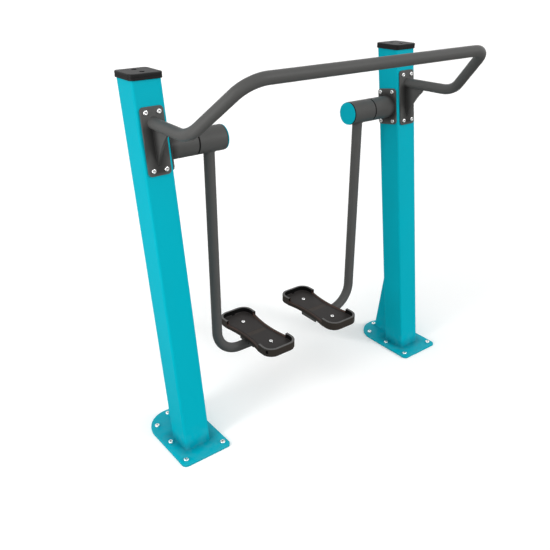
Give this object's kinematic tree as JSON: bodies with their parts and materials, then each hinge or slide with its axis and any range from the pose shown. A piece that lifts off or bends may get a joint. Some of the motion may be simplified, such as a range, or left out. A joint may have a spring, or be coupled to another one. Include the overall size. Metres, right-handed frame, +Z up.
{
  "type": "outdoor air walker",
  "caption": "Outdoor air walker: leaning square posts carry a bent handlebar and, on bearing hubs, freely swinging foot arms with waisted footplates.",
  "frame": {"origin": "on the ground, midway between the posts and midway between the foremost and rearmost points", "axes": "+X from the left post to the right post as seen from the handlebar side, +Y away from the handlebar towards the rear, +Z up"},
  "size_m": [1.364, 0.6548, 1.385],
  "materials": {
    "teal_paint": "satin powder coat, teal",
    "grey_paint": "satin powder coat, dark grey",
    "black_plastic": "moulded, fine matte grain, black",
    "footplate_plastic": "moulded, matte, very dark grey",
    "stainless": "bright stainless steel",
    "bearing_steel": "ground steel"
  },
  "bodies": {
    "frame": {"left_base_plate": "teal_paint", "left_post": "teal_paint", "left_post_cap": "black_plastic", "left_bar_bracket": "grey_paint", "left_pivot_bracket": "grey_paint", "left_pivot_pin": "bearing_steel", "left_anchor_1": "stainless", "left_anchor_2": "stainless", "left_anchor_3": "stainless", "left_anchor_4": "stainless", "left_anchor_5": "stainless", "left_anchor_6": "stainless", "left_anchor_7": "stainless", "left_bar_screw_1": "stainless", "left_bar_screw_2": "stainless", "left_bar_screw_3": "stainless", "left_bar_screw_4": "stainless", "left_pivot_screw_1": "stainless", "left_pivot_screw_2": "stainless", "left_pivot_screw_3": "stainless", "left_pivot_screw_4": "stainless", "right_base_plate": "teal_paint", "right_post": "teal_paint", "right_post_cap": "black_plastic", "right_bar_bracket": "grey_paint", "right_pivot_bracket": "grey_paint", "right_pivot_pin": "bearing_steel", "right_anchor_1": "stainless", "right_anchor_2": "stainless", "right_anchor_3": "stainless", "right_anchor_4": "stainless", "right_anchor_5": "stainless", "right_anchor_6": "stainless", "right_anchor_7": "stainless", "right_bar_screw_1": "stainless", "right_bar_screw_2": "stainless", "right_bar_screw_3": "stainless", "right_bar_screw_4": "stainless", "right_pivot_screw_1": "stainless", "right_pivot_screw_2": "stainless", "right_pivot_screw_3": "stainless", "right_pivot_screw_4": "stainless", "handlebar": "grey_paint"},
    "left_leg": {"left_outer_bearing": "bearing_steel", "left_inner_bearing": "bearing_steel", "left_hub": "grey_paint", "left_hub_cap": "teal_paint", "left_foot_arm": "grey_paint", "left_footplate": "footplate_plastic", "left_foot_screw_1": "stainless", "left_foot_screw_2": "stainless"},
    "right_leg": {"right_outer_bearing": "bearing_steel", "right_inner_bearing": "bearing_steel", "right_hub": "grey_paint", "right_hub_cap": "teal_paint", "right_foot_arm": "grey_paint", "right_footplate": "footplate_plastic", "right_foot_screw_1": "stainless", "right_foot_screw_2": "stainless"}
  },
  "joints": [
    {"name": "left_leg_swing", "type": "hinge", "parent": "frame", "child": "left_leg", "pos_m": [-0.3542, 0.14941, 1.0935], "axis": [1, 0, 0], "range_deg": [-50, 50]},
    {"name": "right_leg_swing", "type": "hinge", "parent": "frame", "child": "right_leg", "pos_m": [0.3542, 0.14941, 1.0935], "axis": [1, 0, 0], "range_deg": [-50, 50]}
  ]
}
